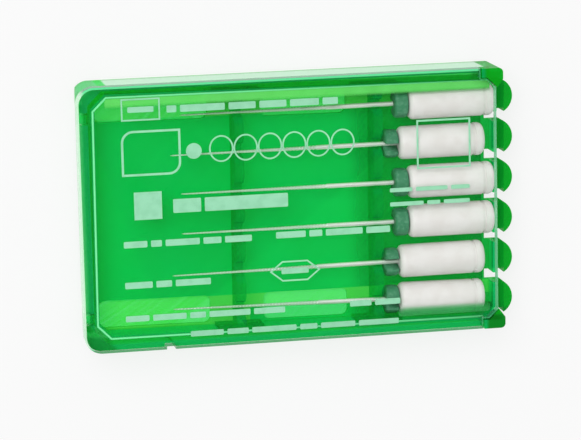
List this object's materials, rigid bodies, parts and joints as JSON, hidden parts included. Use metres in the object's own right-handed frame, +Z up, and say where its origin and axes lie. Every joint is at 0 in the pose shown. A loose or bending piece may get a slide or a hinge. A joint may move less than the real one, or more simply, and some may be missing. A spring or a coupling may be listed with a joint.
{
  "type": "endodontic file set",
  "caption": "Flat hinged case with a translucent green base and a clear cover, holding steel root canal files with white handles and silicone stops side by side.",
  "frame": {"origin": "bottom centre of the box around the closed case", "axes": "+Z up through the clear cover, +X towards the file handles and the half-round tabs, +Y towards the long side next to file_1"},
  "size_m": [0.0482, 0.0286, 0.0063],
  "materials": {
    "green_plastic": "clear gloss, tinted green",
    "clear_plastic": "clear gloss",
    "white_plastic": "satin, off-white",
    "steel": "ground",
    "silicone": "matt"
  },
  "bodies": {
    "case": {"case_base": "green_plastic", "file_tray": "green_plastic", "tip_comb": "green_plastic", "neck_comb": "green_plastic"},
    "cover": {"case_cover": "clear_plastic"},
    "file_1": {"file_1_handle": "white_plastic", "file_1_blade": "steel"},
    "stop_1": {"file_1_stop": "silicone"},
    "file_2": {"file_2_handle": "white_plastic", "file_2_blade": "steel"},
    "stop_2": {"file_2_stop": "silicone"},
    "file_3": {"file_3_handle": "white_plastic", "file_3_blade": "steel"},
    "stop_3": {"file_3_stop": "silicone"},
    "file_4": {"file_4_handle": "white_plastic", "file_4_blade": "steel"},
    "stop_4": {"file_4_stop": "silicone"},
    "file_5": {"file_5_handle": "white_plastic", "file_5_blade": "steel"},
    "stop_5": {"file_5_stop": "silicone"},
    "file_6": {"file_6_handle": "white_plastic", "file_6_blade": "steel"},
    "stop_6": {"file_6_stop": "silicone"}
  },
  "joints": [
    {"name": "cover_hinge", "type": "hinge", "parent": "case", "child": "cover", "pos_m": [-0.0232, 0, 0.0041], "axis": [0, -1, 0], "range_deg": [0, 90]},
    {"name": "file_1_lift", "type": "slide", "parent": "case", "child": "file_1", "axis": [0, 0, 1], "range_m": [0, 0.005]},
    {"name": "stop_1_slide", "type": "slide", "parent": "file_1", "child": "stop_1", "axis": [1, 0.0026, 0], "range_m": [-0.00135, 0]},
    {"name": "file_2_lift", "type": "slide", "parent": "case", "child": "file_2", "axis": [0, 0, 1], "range_m": [0, 0.005]},
    {"name": "stop_2_slide", "type": "slide", "parent": "file_2", "child": "stop_2", "axis": [1, 0.0017, 0], "range_m": [-0.00025, 0]},
    {"name": "file_3_lift", "type": "slide", "parent": "case", "child": "file_3", "axis": [0, 0, 1], "range_m": [0, 0.005]},
    {"name": "stop_3_slide", "type": "slide", "parent": "file_3", "child": "stop_3", "axis": [1, -0.0017, 0], "range_m": [-0.00135, 0]},
    {"name": "file_4_lift", "type": "slide", "parent": "case", "child": "file_4", "axis": [0, 0, 1], "range_m": [0, 0.005]},
    {"name": "stop_4_slide", "type": "slide", "parent": "file_4", "child": "stop_4", "axis": [1, -0.0017, 0], "range_m": [-0.00135, 0]},
    {"name": "file_5_lift", "type": "slide", "parent": "case", "child": "file_5", "axis": [0, 0, 1], "range_m": [0, 0.005]},
    {"name": "stop_5_slide", "type": "slide", "parent": "file_5", "child": "stop_5", "axis": [1, 0.0044, 0], "range_m": [-0.00025, 0]},
    {"name": "file_6_lift", "type": "slide", "parent": "case", "child": "file_6", "axis": [0, 0, 1], "range_m": [0, 0.005]},
    {"name": "stop_6_slide", "type": "slide", "parent": "file_6", "child": "stop_6", "axis": [0.9999, -0.0148, 0], "range_m": [-0.00025, 0]}
  ],
  "couplings": [
    {"joint": "file_1_lift", "follows": "cover_hinge", "m_per_rad": 0.00318},
    {"joint": "file_2_lift", "follows": "cover_hinge", "m_per_rad": 0.00318},
    {"joint": "file_3_lift", "follows": "cover_hinge", "m_per_rad": 0.00318},
    {"joint": "file_4_lift", "follows": "cover_hinge", "m_per_rad": 0.00318},
    {"joint": "file_5_lift", "follows": "cover_hinge", "m_per_rad": 0.00318},
    {"joint": "file_6_lift", "follows": "cover_hinge", "m_per_rad": 0.00318}
  ]
}
